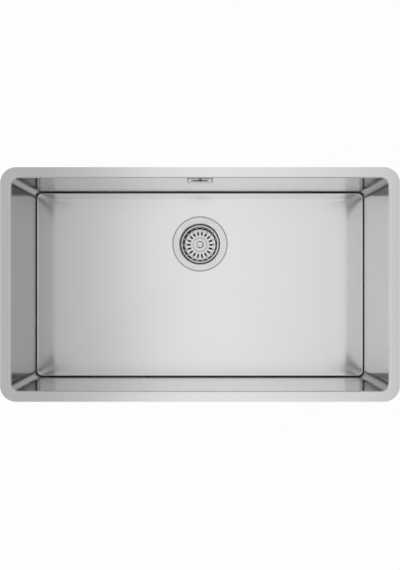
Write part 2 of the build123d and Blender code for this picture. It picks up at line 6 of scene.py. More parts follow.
import bmesh
import bpy
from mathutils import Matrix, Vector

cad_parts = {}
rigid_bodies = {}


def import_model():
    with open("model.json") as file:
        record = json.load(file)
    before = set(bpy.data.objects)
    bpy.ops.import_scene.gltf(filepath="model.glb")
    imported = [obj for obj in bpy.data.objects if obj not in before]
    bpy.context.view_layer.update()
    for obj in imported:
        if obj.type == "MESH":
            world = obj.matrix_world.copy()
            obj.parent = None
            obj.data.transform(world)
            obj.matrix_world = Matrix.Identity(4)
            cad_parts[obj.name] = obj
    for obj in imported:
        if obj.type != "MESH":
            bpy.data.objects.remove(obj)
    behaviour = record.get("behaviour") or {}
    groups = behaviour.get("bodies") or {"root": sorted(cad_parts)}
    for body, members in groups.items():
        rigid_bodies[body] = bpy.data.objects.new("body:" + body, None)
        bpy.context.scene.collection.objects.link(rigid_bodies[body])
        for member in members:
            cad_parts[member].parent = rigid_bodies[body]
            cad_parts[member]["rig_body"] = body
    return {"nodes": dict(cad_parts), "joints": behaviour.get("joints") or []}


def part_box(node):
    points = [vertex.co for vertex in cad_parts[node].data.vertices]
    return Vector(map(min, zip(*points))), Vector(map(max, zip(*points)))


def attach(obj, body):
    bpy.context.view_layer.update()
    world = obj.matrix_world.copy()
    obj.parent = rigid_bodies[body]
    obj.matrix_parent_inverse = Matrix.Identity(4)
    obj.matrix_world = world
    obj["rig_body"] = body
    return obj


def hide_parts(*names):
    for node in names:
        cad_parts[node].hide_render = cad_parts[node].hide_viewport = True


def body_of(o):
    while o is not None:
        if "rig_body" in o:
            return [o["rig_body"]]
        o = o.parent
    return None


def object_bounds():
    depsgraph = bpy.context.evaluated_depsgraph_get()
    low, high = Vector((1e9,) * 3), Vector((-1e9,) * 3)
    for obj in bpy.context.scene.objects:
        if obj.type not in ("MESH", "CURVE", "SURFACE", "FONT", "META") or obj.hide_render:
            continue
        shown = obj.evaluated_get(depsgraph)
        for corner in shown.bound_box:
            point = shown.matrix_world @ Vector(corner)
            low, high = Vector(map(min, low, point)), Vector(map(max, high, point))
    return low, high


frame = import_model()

bl_info = {
    "name": "Undermount sink dressing",
    "version": (1, 0, 0),
    "blender": (4, 5, 0),
    "location": "3D View > Sidebar > Sink",
    "description": "Gives the packed undermount sink its finishes, threads and pad studs, and a plain studio",
    "category": "Object",
}

CAD_BOX = [list(corner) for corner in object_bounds()]
WASTE_LOW, WASTE_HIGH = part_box("strainer_cup")
WASTE_CENTRE = ((WASTE_LOW.x + WASTE_HIGH.x) / 2, (WASTE_LOW.y + WASTE_HIGH.y) / 2, 0.0)
MM = 0.001


# ---------------------------------------------------------------- settings

class SinkFinishes(bpy.types.PropertyGroup):
    """Colours, polish and painted shade of the sink's materials."""

    sheet_colour: bpy.props.FloatVectorProperty(
        name="Sheet steel", description="Colour of the brushed bowl", subtype="COLOR", size=3,
        min=0.0, max=1.0, default=(0.88, 0.878, 0.87))
    sheet_roughness: bpy.props.FloatProperty(
        name="Sheet roughness", description="How soft the bowl's reflections are", subtype="FACTOR",
        min=0.0, max=1.0, default=0.15)
    side_roughness: bpy.props.FloatProperty(
        name="Side roughness", description="The same on the left and right walls", subtype="FACTOR",
        min=0.0, max=1.0, default=0.34)
    sheet_anisotropy: bpy.props.FloatProperty(
        name="Sheet anisotropy", description="How much the brushing stretches the reflections",
        subtype="FACTOR", min=0.0, max=1.0, default=0.8)
    # Painted shade: these shares darken the bend round the floor, the upright corner bends, their creases,
    # the walls beside the corners, the slopes of cup and basket and the bowl's outside.
    bend_shade_share: bpy.props.FloatProperty(
        name="Bend brightness", description="What the bend round the floor keeps of the sheet's brightness",
        subtype="FACTOR", min=0.0, max=1.0, default=0.05)
    strip_shade_share: bpy.props.FloatProperty(
        name="Corner bend brightness", description="The same in the bowl's upright corner bends",
        subtype="FACTOR", min=0.0, max=1.0, default=0.36)
    crease_shade_share: bpy.props.FloatProperty(
        name="Crease brightness", description="The same along both edges of those corner bends",
        subtype="FACTOR", min=0.0, max=1.0, default=0.25)
    corner_shade_share: bpy.props.FloatProperty(
        name="Corner brightness", description="The same beside the bowl's upright corners",
        subtype="FACTOR", min=0.0, max=1.0, default=0.33)
    # Painted shade on the slopes of cup and basket.
    slope_shade_share: bpy.props.FloatProperty(
        name="Slope brightness", description="What the slopes of cup and basket keep of their brightness",
        subtype="FACTOR", min=0.0, max=1.0, default=0.4)
    outer_shade_share: bpy.props.FloatProperty(
        name="Outer brightness", description="What the outside of the bowl keeps of its brightness",
        subtype="FACTOR", min=0.0, max=1.0, default=0.7)
    turned_colour: bpy.props.FloatVectorProperty(
        name="Turned steel", description="Colour of the strainer cup", subtype="COLOR", size=3,
        min=0.0, max=1.0, default=(0.86, 0.857, 0.848))
    polished_colour: bpy.props.FloatVectorProperty(
        name="Polished steel", description="Colour of the basket and the overflow cover",
        subtype="COLOR", size=3, min=0.0, max=1.0, default=(0.77, 0.767, 0.758))
    waste_colour: bpy.props.FloatVectorProperty(
        name="Waste plastic", description="Colour of the waste body, its outlet and the union nut",
        subtype="COLOR", size=3, min=0.0, max=1.0, default=(0.055, 0.056, 0.06))
    pipe_colour: bpy.props.FloatVectorProperty(
        name="Pipe plastic", description="Colour of the overflow pipe and housing",
        subtype="COLOR", size=3, min=0.0, max=1.0, default=(0.62, 0.63, 0.64))
    rubber_colour: bpy.props.FloatVectorProperty(
        name="Rubber", description="Colour of the plug and the seals", subtype="COLOR", size=3,
        min=0.0, max=1.0, default=(0.035, 0.035, 0.037))
    pad_colour: bpy.props.FloatVectorProperty(
        name="Pads", description="Colour of the sound-deadening pads", subtype="COLOR", size=3,
        min=0.0, max=1.0, default=(0.09, 0.092, 0.098))
    brass_colour: bpy.props.FloatVectorProperty(
        name="Brass", description="Colour of the threaded bush", subtype="COLOR", size=3,
        min=0.0, max=1.0, default=(0.78, 0.6, 0.3))
    zinc_colour: bpy.props.FloatVectorProperty(
        name="Zinc plate", description="Colour of the clips and their screws", subtype="COLOR", size=3,
        min=0.0, max=1.0, default=(0.62, 0.63, 0.65))


class SinkDetails(bpy.types.PropertyGroup):
    """Sizes of the threads, screws and studs."""

    outlet_pitch: bpy.props.FloatProperty(
        name="Outlet pitch", description="Distance between the outlet's threads", unit="LENGTH",
        min=0.0005, default=0.002309)
    outlet_depth: bpy.props.FloatProperty(
        name="Outlet thread depth", description="Crest to root of the outlet's thread", unit="LENGTH",
        min=0.0, default=0.00148)
    outlet_wall: bpy.props.FloatProperty(
        name="Outlet wall", description="Crest to bore of the outlet", unit="LENGTH", min=0.0, default=0.0034)
    stud_pitch: bpy.props.FloatProperty(
        name="Stud pitch", description="Distance between the studs on the pads", unit="LENGTH",
        min=0.004, default=0.011)
    stud_radius: bpy.props.FloatProperty(
        name="Stud radius", description="Foot of one stud", unit="LENGTH", min=0.0, default=0.0032)
    stud_height: bpy.props.FloatProperty(
        name="Stud height", description="How far a stud stands proud of its pad", unit="LENGTH",
        min=0.0, default=0.0004)
    stud_margin: bpy.props.FloatProperty(
        name="Stud margin", description="Bare border of each pad", unit="LENGTH", min=0.0, default=0.0075)
    nut_width: bpy.props.FloatProperty(
        name="Nut width", description="Across the flats of the clip nuts",
        unit="LENGTH", min=0.0, default=0.008)
    screw_radius: bpy.props.FloatProperty(
        name="Screw radius", description="Shank of the clip screws", unit="LENGTH", min=0.0, default=0.0025)
    screw_pitch: bpy.props.FloatProperty(
        name="Screw pitch", description="Distance between the threads of the clip screws", unit="LENGTH",
        min=0.0002, default=0.0008)
    screw_head_radius: bpy.props.FloatProperty(
        name="Screw head", description="Head of the clip screws", unit="LENGTH", min=0.0, default=0.0046)
    screw_head_height: bpy.props.FloatProperty(
        name="Screw head height", description="Height of that head", unit="LENGTH", min=0.0, default=0.003)
    socket_width: bpy.props.FloatProperty(
        name="Socket width", description="Across the flats of the socket in that head", unit="LENGTH",
        min=0.0, default=0.003)
    weld_radius: bpy.props.FloatProperty(
        name="Weld radius", description="Spot welds on the lugs", unit="LENGTH", min=0.0, default=0.0024)


class SinkStudio(bpy.types.PropertyGroup):
    """Camera, floor and light."""

    camera_height: bpy.props.FloatProperty(
        name="Camera height", description="Height of the camera over the flange", unit="LENGTH",
        min=0.1, default=1.29)
    camera_back: bpy.props.FloatProperty(
        name="Camera offset", description="How far the camera stands behind the sink's middle", unit="LENGTH",
        default=-0.001)
    camera_lens: bpy.props.FloatProperty(
        name="Lens", description="Focal length in millimetres on a 36 mm sensor", min=1.0, default=43.45)
    floor_gap: bpy.props.FloatProperty(
        name="Floor gap", description="Space between the waste outlet and the floor", unit="LENGTH",
        min=0.0, default=0.003)
    ceiling_height: bpy.props.FloatProperty(
        name="Ceiling light height", description="Height of the light over the flange", unit="LENGTH",
        min=0.5, default=2.4)
    ceiling_size: bpy.props.FloatProperty(
        name="Ceiling light size", description="Side of the square light",
        unit="LENGTH", min=0.5, default=6.0)


# ---------------------------------------------------------------- node helpers

def add_node(tree, kind, sockets=None, **settings):
    """Adds a node. A socket that is given another node's output is joined to it, any other value is set."""
    node = tree.nodes.new(kind)
    for name, value in settings.items():
        setattr(node, name, value)
    for key, value in (sockets or {}).items():
        if isinstance(value, bpy.types.NodeSocket):
            tree.links.new(value, node.inputs[key])
        else:
            node.inputs[key].default_value = value
    return node


def maths(tree, operation, first, second=0.0, third=0.0):
    """Output of a Math node."""
    return add_node(tree, "ShaderNodeMath", {0: first, 1: second, 2: third}, operation=operation).outputs[0]


def times(tree, first, second):
    """Product of two values."""
    return maths(tree, "MULTIPLY", first, second)


def opposite(tree, mask):
    """1 where the mask is 0, and 0 where it is 1."""
    return maths(tree, "SUBTRACT", 1.0, mask)


def vector_maths(tree, operation, first, second=(0.0, 0.0, 0.0), result="Vector"):
    """Output of a Vector Math node."""
    return add_node(tree, "ShaderNodeVectorMath", {0: first, 1: second}, operation=operation).outputs[result]


def parts(tree, vector):
    """The X, Y and Z of a vector."""
    return add_node(tree, "ShaderNodeSeparateXYZ", {0: vector}).outputs


def spread(tree, value, low, high, from_low=0.0, from_high=1.0):
    """A value moved from one range to another, smoothly."""
    sockets = {"Value": value, "From Min": from_low, "From Max": from_high, "To Min": low, "To Max": high}
    return add_node(tree, "ShaderNodeMapRange", sockets, interpolation_type="SMOOTHSTEP").outputs["Result"]


def noise(tree, vector, scale, detail=2.0, roughness=0.5):
    """A noise between 0 and 1, at a scale in cells per metre."""
    sockets = {"Vector": vector, "Scale": scale, "Detail": detail, "Roughness": roughness}
    return add_node(tree, "ShaderNodeTexNoise", sockets).outputs["Fac"]


def place(tree):
    """The point being shaded, in metres in the sink's frame."""
    return add_node(tree, "ShaderNodeTexCoord").outputs["Object"]


def surface_normal(tree):
    """The direction that the surface faces at that point."""
    return add_node(tree, "ShaderNodeNewGeometry").outputs["Normal"]


def grey(tree, value):
    """The same number in all three channels."""
    return add_node(tree, "ShaderNodeCombineXYZ", {0: value, 1: value, 2: value}).outputs[0]


def shaded(tree, colour, amount, pattern):
    """A colour made darker by up to the amount where the pattern is low."""
    return vector_maths(tree, "MULTIPLY", tuple(colour), grey(tree, spread(tree, pattern, 1.0 - amount, 1.0)))


def clean_tree(owner):
    """The emptied node tree of a material or a world."""
    owner.use_nodes = True
    owner.node_tree.nodes.clear()
    return owner.node_tree


def new_material(name, colour, roughness, metallic=0.0, specular=0.5):
    """A material with a Principled shader; returns it, its tree and the shader."""
    material = bpy.data.materials.new(name)
    tree = clean_tree(material)
    sockets = {"Base Color": (*colour, 1.0), "Roughness": roughness, "Metallic": metallic,
               "Specular IOR Level": specular}
    shader = add_node(tree, "ShaderNodeBsdfPrincipled", sockets)
    add_node(tree, "ShaderNodeOutputMaterial", {"Surface": shader.outputs[0]})
    material.diffuse_color = (*colour, 1.0)
    return material, tree, shader


def set_colour(tree, shader, colour, share):
    """Gives the shader the colour, dimmed to the share."""
    tree.links.new(vector_maths(tree, "MULTIPLY", colour, grey(tree, share)), shader.inputs["Base Color"])


def set_uneven(tree, shader, pattern, roughness, below, above, from_low=0.3, from_high=0.7):
    """Lets the pattern move the shader's roughness, from so much below to so much above."""
    level = spread(tree, pattern, roughness - below, roughness + above, from_low, from_high)
    tree.links.new(level, shader.inputs["Roughness"])


def bump(tree, shader, height, distance, strength):
    """Raises the surface by the height pattern, over the distance in metres."""
    sockets = {"Height": height, "Distance": distance, "Strength": strength}
    tree.links.new(add_node(tree, "ShaderNodeBump", sockets).outputs[0], shader.inputs["Normal"])


# ---------------------------------------------------------------- finishes

# The brushing: cells per metre along and across its lines, and what fine lines and broad bands count for.
STREAK_ALONG = 5.0
STREAK_ACROSS = 1400.0
BAND_ACROSS = 260.0
FINE_COUNTS = 0.6
BROAD_COUNTS = 0.4

# The largest part of a face's normal tells where it lies: 1 on a flat face, least in the middle of a bend.
WALL_FACES_SIDE = 0.9
BEND_FACING = (0.94, 0.96)
FLAT_FACING = (0.998, 0.9995)
UPRIGHT_FACING = 0.3
SLOPE_FACING = (0.75, 0.97)

# The bowl's inner faces look towards this point, and its outer faces away from it.
SEEN_FROM = (0.0, 0.0, 50 * MM)
OUTER_ROUGHNESS = 0.42

# Shares of brightness that painted shade leaves on the left and right walls and in the bend at the mouth, and
# where the mouth ends.
SIDE_SHADE_SHARE = 0.8
MOUTH_SHADE_SHARE = 0.7
SHADE_TOP = -6 * MM

# The painted shade beside the upright corners starts further out with the depth, so it looks straight from
# above.
CORNER_FROM_X = (296 * MM, 302 * MM)
CORNER_FROM_Y = (164 * MM, 168 * MM)
CORNER_SLANT_X = 0.236
CORNER_SLANT_Y = 0.13

# The overflow plate: its shares of painted shade, in the order of the bowl's shares, how far in from its ends
# and how far behind its front the painted shade at its ends starts, and the share of brightness that it
# leaves.
COVER_SHADE_SHARES = (0.3, 0.3, 1.0, 1.0, 1.0)
COVER_FOOT = 1.5 * MM
COVER_SHEET = 1.0 * MM
COVER_END_SHADE = 0.12


def brush_lines(tree):
    """Lines of the brushing: along Y on the left and right walls, along X elsewhere."""
    point = place(tree)
    normal = surface_normal(tree)
    on_side = maths(tree, "GREATER_THAN", maths(tree, "ABSOLUTE", parts(tree, normal)["X"]), WALL_FACES_SIDE)
    patterns = []
    for across in (STREAK_ACROSS, BAND_ACROSS):
        along_x = noise(tree, vector_maths(tree, "MULTIPLY", point, (STREAK_ALONG, across, across)), 1.0)
        along_y = noise(tree, vector_maths(tree, "MULTIPLY", point, (across, STREAK_ALONG, across)), 1.0)
        sockets = {0: on_side, 2: along_x, 3: along_y}
        patterns.append(add_node(tree, "ShaderNodeMix", sockets, data_type="FLOAT").outputs[0])
    sockets = {0: on_side, 4: (1.0, 0.0, 0.0), 5: (0.0, 1.0, 0.0)}
    direction = add_node(tree, "ShaderNodeMix", sockets, data_type="VECTOR").outputs[1]
    tangent = vector_maths(tree, "NORMALIZE", vector_maths(tree, "CROSS_PRODUCT", normal, direction))
    return patterns[0], patterns[1], on_side, tangent


def outside(tree):
    """1 on the underside and the outer faces of the sheet, 0 on what is seen from above."""
    from_middle = vector_maths(tree, "SUBTRACT", place(tree), SEEN_FROM)
    away = vector_maths(tree, "DOT_PRODUCT", surface_normal(tree), from_middle, "Value")
    return maths(tree, "GREATER_THAN", away, 0.0)


def kept(tree, mask, share):
    """Brightness factor: the share where the mask is 1, and 1 where it is 0."""
    return maths(tree, "MULTIPLY_ADD", mask, share - 1.0, 1.0)


def painted_shade_share(tree, bend_shade_share, strip_shade_share, crease_shade_share, corner_shade_share, outer_shade_share):
    """Share of brightness that painted shade leaves: less in bends, beside the bowl's upright corners, on the
    side walls, in the mouth bend and outside.
    """
    facing = parts(tree, vector_maths(tree, "ABSOLUTE", surface_normal(tree)))
    squarest = maths(tree, "MAXIMUM", maths(tree, "MAXIMUM", facing["X"], facing["Y"]), facing["Z"])
    in_bend = spread(tree, squarest, 1.0, 0.0, *BEND_FACING)
    on_flat = spread(tree, squarest, 0.0, 1.0, *FLAT_FACING)
    on_crease = maths(tree, "SUBTRACT", opposite(tree, in_bend), on_flat)
    upright = maths(tree, "LESS_THAN", facing["Z"], UPRIGHT_FACING)
    point = place(tree)
    height = parts(tree, point)["Z"]
    across = parts(tree, vector_maths(tree, "ABSOLUTE", point))
    near_side = maths(tree, "MULTIPLY_ADD", height, CORNER_SLANT_X, across["X"])
    near_end = maths(tree, "MULTIPLY_ADD", height, CORNER_SLANT_Y, across["Y"])
    near_corner = times(tree, spread(tree, near_side, 0.0, 1.0, *CORNER_FROM_X),
                        spread(tree, near_end, 0.0, 1.0, *CORNER_FROM_Y))
    outer = outside(tree)
    inner = opposite(tree, outer)
    below_mouth = times(tree, maths(tree, "LESS_THAN", height, SHADE_TOP), inner)
    on_side = times(tree, maths(tree, "GREATER_THAN", facing["X"], WALL_FACES_SIDE), below_mouth)
    at_mouth = times(tree, in_bend, maths(tree, "SUBTRACT", inner, below_mouth))
    # Painted shade: darkens the outside, the side walls, the mouth bend, the floor bend, the corner bends,
    # their creases and the walls beside the corners.
    share = times(tree, kept(tree, outer, outer_shade_share), kept(tree, on_side, SIDE_SHADE_SHARE))
    share = times(tree, share, kept(tree, at_mouth, MOUTH_SHADE_SHARE))
    beside_strip = times(tree, near_corner, opposite(tree, in_bend))
    for mask, part in ((times(tree, in_bend, opposite(tree, upright)), bend_shade_share),
                       (times(tree, in_bend, upright), strip_shade_share),
                       (times(tree, on_crease, upright), crease_shade_share),
                       (times(tree, beside_strip, upright), corner_shade_share)):
        share = times(tree, share, kept(tree, times(tree, mask, below_mouth), part))
    return share, outer


def brushed_steel(name, colour, roughness, side_roughness, anisotropy, shares):
    """Steel sheet with straight brushing, rougher on the left and right walls and outside, and with painted
    shade in its bends, beside its corners, on its side walls and outside.
    """
    material, tree, shader = new_material(name, colour, roughness, metallic=1.0)
    fine, broad, on_side, tangent = brush_lines(tree)
    both = maths(tree, "MULTIPLY_ADD", fine, FINE_COUNTS, times(tree, broad, BROAD_COUNTS))
    # Painted shade: the share darkens the colour in the bends, beside the corners, on the side walls and
    # outside.
    share, outer = painted_shade_share(tree, *shares)
    set_colour(tree, shader, shaded(tree, colour, amount=0.05, pattern=both), share)
    level = maths(tree, "MULTIPLY_ADD", on_side, side_roughness - roughness, roughness)
    level = maths(tree, "MAXIMUM", level, times(tree, outer, OUTER_ROUGHNESS))
    varied = maths(tree, "ADD", level, spread(tree, both, low=-0.03, high=0.03))
    tree.links.new(varied, shader.inputs["Roughness"])
    shader.inputs["Anisotropic"].default_value = anisotropy
    tree.links.new(tangent, shader.inputs["Tangent"])
    bump(tree, shader, fine, distance=0.003 * MM, strength=0.4)
    return material


def paint_shade_at_ends(material, share, from_x, behind_y):
    """Painted shade at the plate's ends: darkens what lies beyond from_x on both sides and behind the plate.
    """
    tree = material.node_tree
    shader = next(node for node in tree.nodes if node.type == "BSDF_PRINCIPLED")
    point = place(tree)
    across = parts(tree, vector_maths(tree, "ABSOLUTE", point))["X"]
    # Painted shade mask: the plate's ends beyond from_x and behind its front.
    end_shade_mask = times(tree, maths(tree, "GREATER_THAN", across, from_x),
                   maths(tree, "GREATER_THAN", parts(tree, point)["Y"], behind_y))
    set_colour(tree, shader, shader.inputs["Base Color"].links[0].from_socket, kept(tree, end_shade_mask, share))


def ring_lines(tree, rings_per_metre):
    """Concentric turning marks around the waste's axis, between 0 and 1."""
    offset = vector_maths(tree, "SUBTRACT", place(tree), WASTE_CENTRE)
    level = vector_maths(tree, "MULTIPLY", offset, (1.0, 1.0, 0.0))
    radius = vector_maths(tree, "LENGTH", level, result="Value")
    seed = add_node(tree, "ShaderNodeCombineXYZ", {0: radius, 1: parts(tree, offset)["Z"], 2: 0.0}).outputs[0]
    return noise(tree, seed, rings_per_metre, detail=3.0, roughness=0.7)


def turned_steel_with_slope_shade(name, colour, roughness, slope_shade_share=1.0, rings_per_metre=2400.0, ring_depth=0.006 * MM):
    """Metal turned or pressed round the waste's axis, with painted shade on its slopes."""
    material, tree, shader = new_material(name, colour, roughness, metallic=1.0)
    rings = ring_lines(tree, rings_per_metre)
    smudges = noise(tree, place(tree), scale=60.0, detail=4.0)
    upwards = parts(tree, vector_maths(tree, "ABSOLUTE", surface_normal(tree)))["Z"]
    # Painted shade: sloping faces keep only a share of the brightness.
    share = spread(tree, upwards, slope_shade_share, 1.0, *SLOPE_FACING)
    set_colour(tree, shader, shaded(tree, colour, amount=0.06, pattern=rings), share)
    set_uneven(tree, shader, smudges, roughness, below=0.03, above=0.05)
    bump(tree, shader, rings, ring_depth, strength=0.5)
    return material


def moulded_plastic(name, colour, roughness):
    """Moulded plastic with a fine spark-eroded grain."""
    material, tree, shader = new_material(name, colour, roughness, specular=0.4)
    grain = noise(tree, place(tree), scale=2600.0)
    stretched = vector_maths(tree, "MULTIPLY", place(tree), (1.0, 1.0, 0.35))
    flow = noise(tree, stretched, scale=45.0, detail=3.0)
    tree.links.new(shaded(tree, colour, amount=0.16, pattern=flow), shader.inputs["Base Color"])
    set_uneven(tree, shader, flow, roughness, below=0.06, above=0.06)
    bump(tree, shader, grain, distance=0.06 * MM, strength=0.6)
    return material


def soft_rubber(name, colour, roughness):
    """Dull rubber with a faint bloom."""
    material, tree, shader = new_material(name, colour, roughness, specular=0.3)
    bloom = noise(tree, place(tree), scale=35.0, detail=4.0)
    grain = noise(tree, place(tree), scale=3200.0, detail=1.0)
    tree.links.new(shaded(tree, colour, amount=0.3, pattern=bloom), shader.inputs["Base Color"])
    set_uneven(tree, shader, bloom, roughness, below=0.1, above=0.08)
    bump(tree, shader, grain, distance=0.05 * MM, strength=0.5)
    return material


def zinc_plated(name, colour, roughness):
    """Plated steel: small crystals and a hint of passivation colour."""
    material, tree, shader = new_material(name, colour, roughness, metallic=1.0)
    cells = add_node(tree, "ShaderNodeTexVoronoi", {"Vector": place(tree), "Scale": 700.0}).outputs["Color"]
    crystal = parts(tree, cells)["X"]
    tint = noise(tree, place(tree), scale=90.0, detail=3.0)
    warm = tuple(channel * share for channel, share in zip(colour, (1.04, 1.0, 0.9)))
    sockets = {0: spread(tree, tint, 0.0, 1.0, 0.4, 0.65), 6: (*colour, 1.0), 7: (*warm, 1.0)}
    hue = add_node(tree, "ShaderNodeMix", sockets, data_type="RGBA").outputs[2]
    set_colour(tree, shader, hue, spread(tree, crystal, low=0.88, high=1.0))
    set_uneven(tree, shader, crystal, roughness, below=0.06, above=0.08, from_low=0.0, from_high=1.0)
    bump(tree, shader, crystal, distance=0.01 * MM, strength=0.5)
    return material


def give(material, *nodes):
    """Puts the material on every slot of these CAD nodes."""
    for name in nodes:
        mesh = frame["nodes"][name].data
        if not mesh.materials:
            mesh.materials.append(material)
        for slot in range(len(mesh.materials)):
            mesh.materials[slot] = material


def pads():
    """Names of the sound-deadening pads."""
    names = sorted(name for name in frame["nodes"] if "_pad" in name)
    if not names:
        raise RuntimeError("no pad was found")
    return names


# ---------------------------------------------------------------- operators

class SINK_OT_finish_bowl(bpy.types.Operator):
    """Brushes the bowl and the lugs under its flange, and paints shade into their bends, corners and outside
    """

    bl_idname = "sink.finish_bowl"
    bl_label = "Finish the bowl"

    def execute(self, context):
        look = context.scene.sink_finishes
        # Shares of the painted shade in the bowl's bends, creases, corners and outside.
        shares = (look.bend_shade_share, look.strip_shade_share, look.crease_shade_share, look.corner_shade_share, look.outer_shade_share)
        steel = brushed_steel("brushed_sheet_steel_painted_shade", look.sheet_colour, look.sheet_roughness,
                              look.side_roughness, look.sheet_anisotropy, shares)
        give(steel, "bowl", "clip_lugs")
        return {"FINISHED"}


class SINK_OT_finish_strainer(bpy.types.Operator):
    """Turns and polishes the strainer cup, the basket and what holds them, with painted shade on the slopes
    of cup and basket
    """

    bl_idname = "sink.finish_strainer"
    bl_label = "Finish the strainer"

    def execute(self, context):
        look = context.scene.sink_finishes
        steel = turned_steel_with_slope_shade("turned_cup_steel_slope_shade", look.turned_colour, roughness=0.26,
                             slope_shade_share=look.slope_shade_share)
        give(steel, "strainer_cup")
        steel = turned_steel_with_slope_shade("polished_basket_steel_slope_shade", look.polished_colour, roughness=0.16,
                             slope_shade_share=look.slope_shade_share, rings_per_metre=1500.0, ring_depth=0.003 * MM)
        give(steel, "basket_shell", "basket_boss", "basket_knob", "basket_stem", "plug_washer", "plug_nut",
             "centre_screw")
        give(turned_steel_with_slope_shade("turned_brass", look.brass_colour, roughness=0.24), "hub_insert")
        return {"FINISHED"}


class SINK_OT_finish_overflow_cover(bpy.types.Operator):
    """Polishes the plate in front of the overflow slot, with painted shade in its bends and at its ends"""

    bl_idname = "sink.finish_overflow_cover"
    bl_label = "Finish the overflow cover"

    def execute(self, context):
        look = context.scene.sink_finishes
        steel = brushed_steel("polished_cover_steel_painted_shade", look.polished_colour, roughness=0.2, side_roughness=0.2,
                              anisotropy=0.3, shares=COVER_SHADE_SHARES)
        low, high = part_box("overflow_cover")
        # Painted shade at both ends of the plate and behind its front.
        paint_shade_at_ends(steel, COVER_END_SHADE, high.x - COVER_FOOT, low.y + COVER_SHEET)
        give(steel, "overflow_cover")
        return {"FINISHED"}


class SINK_OT_finish_plastics(bpy.types.Operator):
    """Gives the waste body, the overflow housing, the union nut and the pipe their moulded plastic"""

    bl_idname = "sink.finish_plastics"
    bl_label = "Finish the plastic parts"

    def execute(self, context):
        look = context.scene.sink_finishes
        give(moulded_plastic("waste_plastic", look.waste_colour, roughness=0.42),
             "waste_body", "overflow_union_nut")
        give(moulded_plastic("pipe_plastic", look.pipe_colour, roughness=0.36),
             "overflow_pipe", "overflow_housing")
        return {"FINISHED"}


class SINK_OT_finish_seals(bpy.types.Operator):
    """Gives the plug, the gaskets and the pads their rubber"""

    bl_idname = "sink.finish_seals"
    bl_label = "Finish the seals and pads"

    def execute(self, context):
        look = context.scene.sink_finishes
        give(soft_rubber("seal_rubber", look.rubber_colour, roughness=0.7), "rubber_plug", "cup_gasket",
             "body_gasket", "overflow_gasket", "overflow_washer", "overflow_o_ring")
        give(soft_rubber("pad_rubber", look.pad_colour, roughness=0.82), *pads())
        return {"FINISHED"}


class SINK_OT_finish_clips(bpy.types.Operator):
    """Plates the fixing clips, their screws and nuts"""

    bl_idname = "sink.finish_clips"
    bl_label = "Finish the fixing clips"

    def execute(self, context):
        look = context.scene.sink_finishes
        clips = [name for name in frame["nodes"] if name.startswith("clip_") and name != "clip_lugs"]
        give(zinc_plated("zinc_plate", look.zinc_colour, roughness=0.34), "overflow_nut", *clips)
        return {"FINISHED"}


# ---------------------------------------------------------------- mesh helpers

SMOOTH_UP_TO = 35.0
FACING = "facing"
REPEAT_TREE = "repeat_on_points"


def section_pairs(work, section_at, steps, centre=(0.0, 0.0)):
    """Neighbouring sections round an upright axis.

    section_at(turn) gives a section's (radius, height) points, with turn going from 0 to 1.
    """
    rings = []
    for step in range(steps):
        angle = 2 * math.pi * step / steps
        x, y = math.cos(angle), math.sin(angle)
        rings.append([work.verts.new((centre[0] + radius * x, centre[1] + radius * y, height))
                      for radius, height in section_at(step / steps)])
    return zip(rings, rings[1:] + rings[:1])


def ring_solid(work, section_at, steps, centre=(0.0, 0.0)):
    """A ring round an upright axis, with a closed section."""
    for here, there in section_pairs(work, section_at, steps, centre):
        count = len(here)
        for low in range(count):
            high = (low + 1) % count
            work.faces.new((here[low], there[low], there[high], here[high]))


def turned_solid(work, section_at, steps, low, high):
    """A solid round the Z axis whose section runs from the axis at height low to the axis at height high."""
    first, last = work.verts.new((0.0, 0.0, low)), work.verts.new((0.0, 0.0, high))
    for here, there in section_pairs(work, section_at, steps):
        work.faces.new((first, there[0], here[0]))
        work.faces.new((last, here[-1], there[-1]))
        for below in range(len(here) - 1):
            work.faces.new((here[below], there[below], there[below + 1], here[below + 1]))


def hexagon(turn, width):
    """Distance from the middle of a hexagon to its edge, given its width across the flats."""
    return width / 2 / math.cos((turn * 6 % 1.0 - 0.5) * math.pi / 3)


def thread_rows(low, high, crest, depth, pitch, turn, rows_per_turn):
    """Points (radius, height) up a thread; it runs out over its first and last half turn."""
    rows = max(2, round((high - low) / pitch * rows_per_turn))
    points = []
    for row in range(rows + 1):
        height = low + (high - low) * row / rows
        runout = min(1.0, 2 * (height - low) / pitch, 2 * (high - height) / pitch)
        wave = 0.5 + 0.5 * math.cos(2 * math.pi * (height / pitch - turn))
        points.append((crest - depth * (1.0 - wave * runout), height))
    return points


def mesh_from(work, name):
    """The bmesh as a mesh, with its faces outward and rounded faces shaded smooth."""
    bmesh.ops.recalc_face_normals(work, faces=work.faces)
    mesh = bpy.data.meshes.new(name)
    work.to_mesh(mesh)
    work.free()
    mesh.shade_smooth()
    mesh.set_sharp_from_angle(angle=math.radians(SMOOTH_UP_TO))
    return mesh


def add_piece(name, mesh, material, slot, body, *nodes):
    """Puts a finished mesh in the scene: it rides on the body and stands for the CAD nodes."""
    mesh.materials.clear()
    mesh.materials.append(bpy.data.materials[material])
    piece = bpy.data.objects.new(name, mesh)
    bpy.context.scene.collection.objects.link(piece)
    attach(piece, body)
    if nodes:
        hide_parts(*nodes)


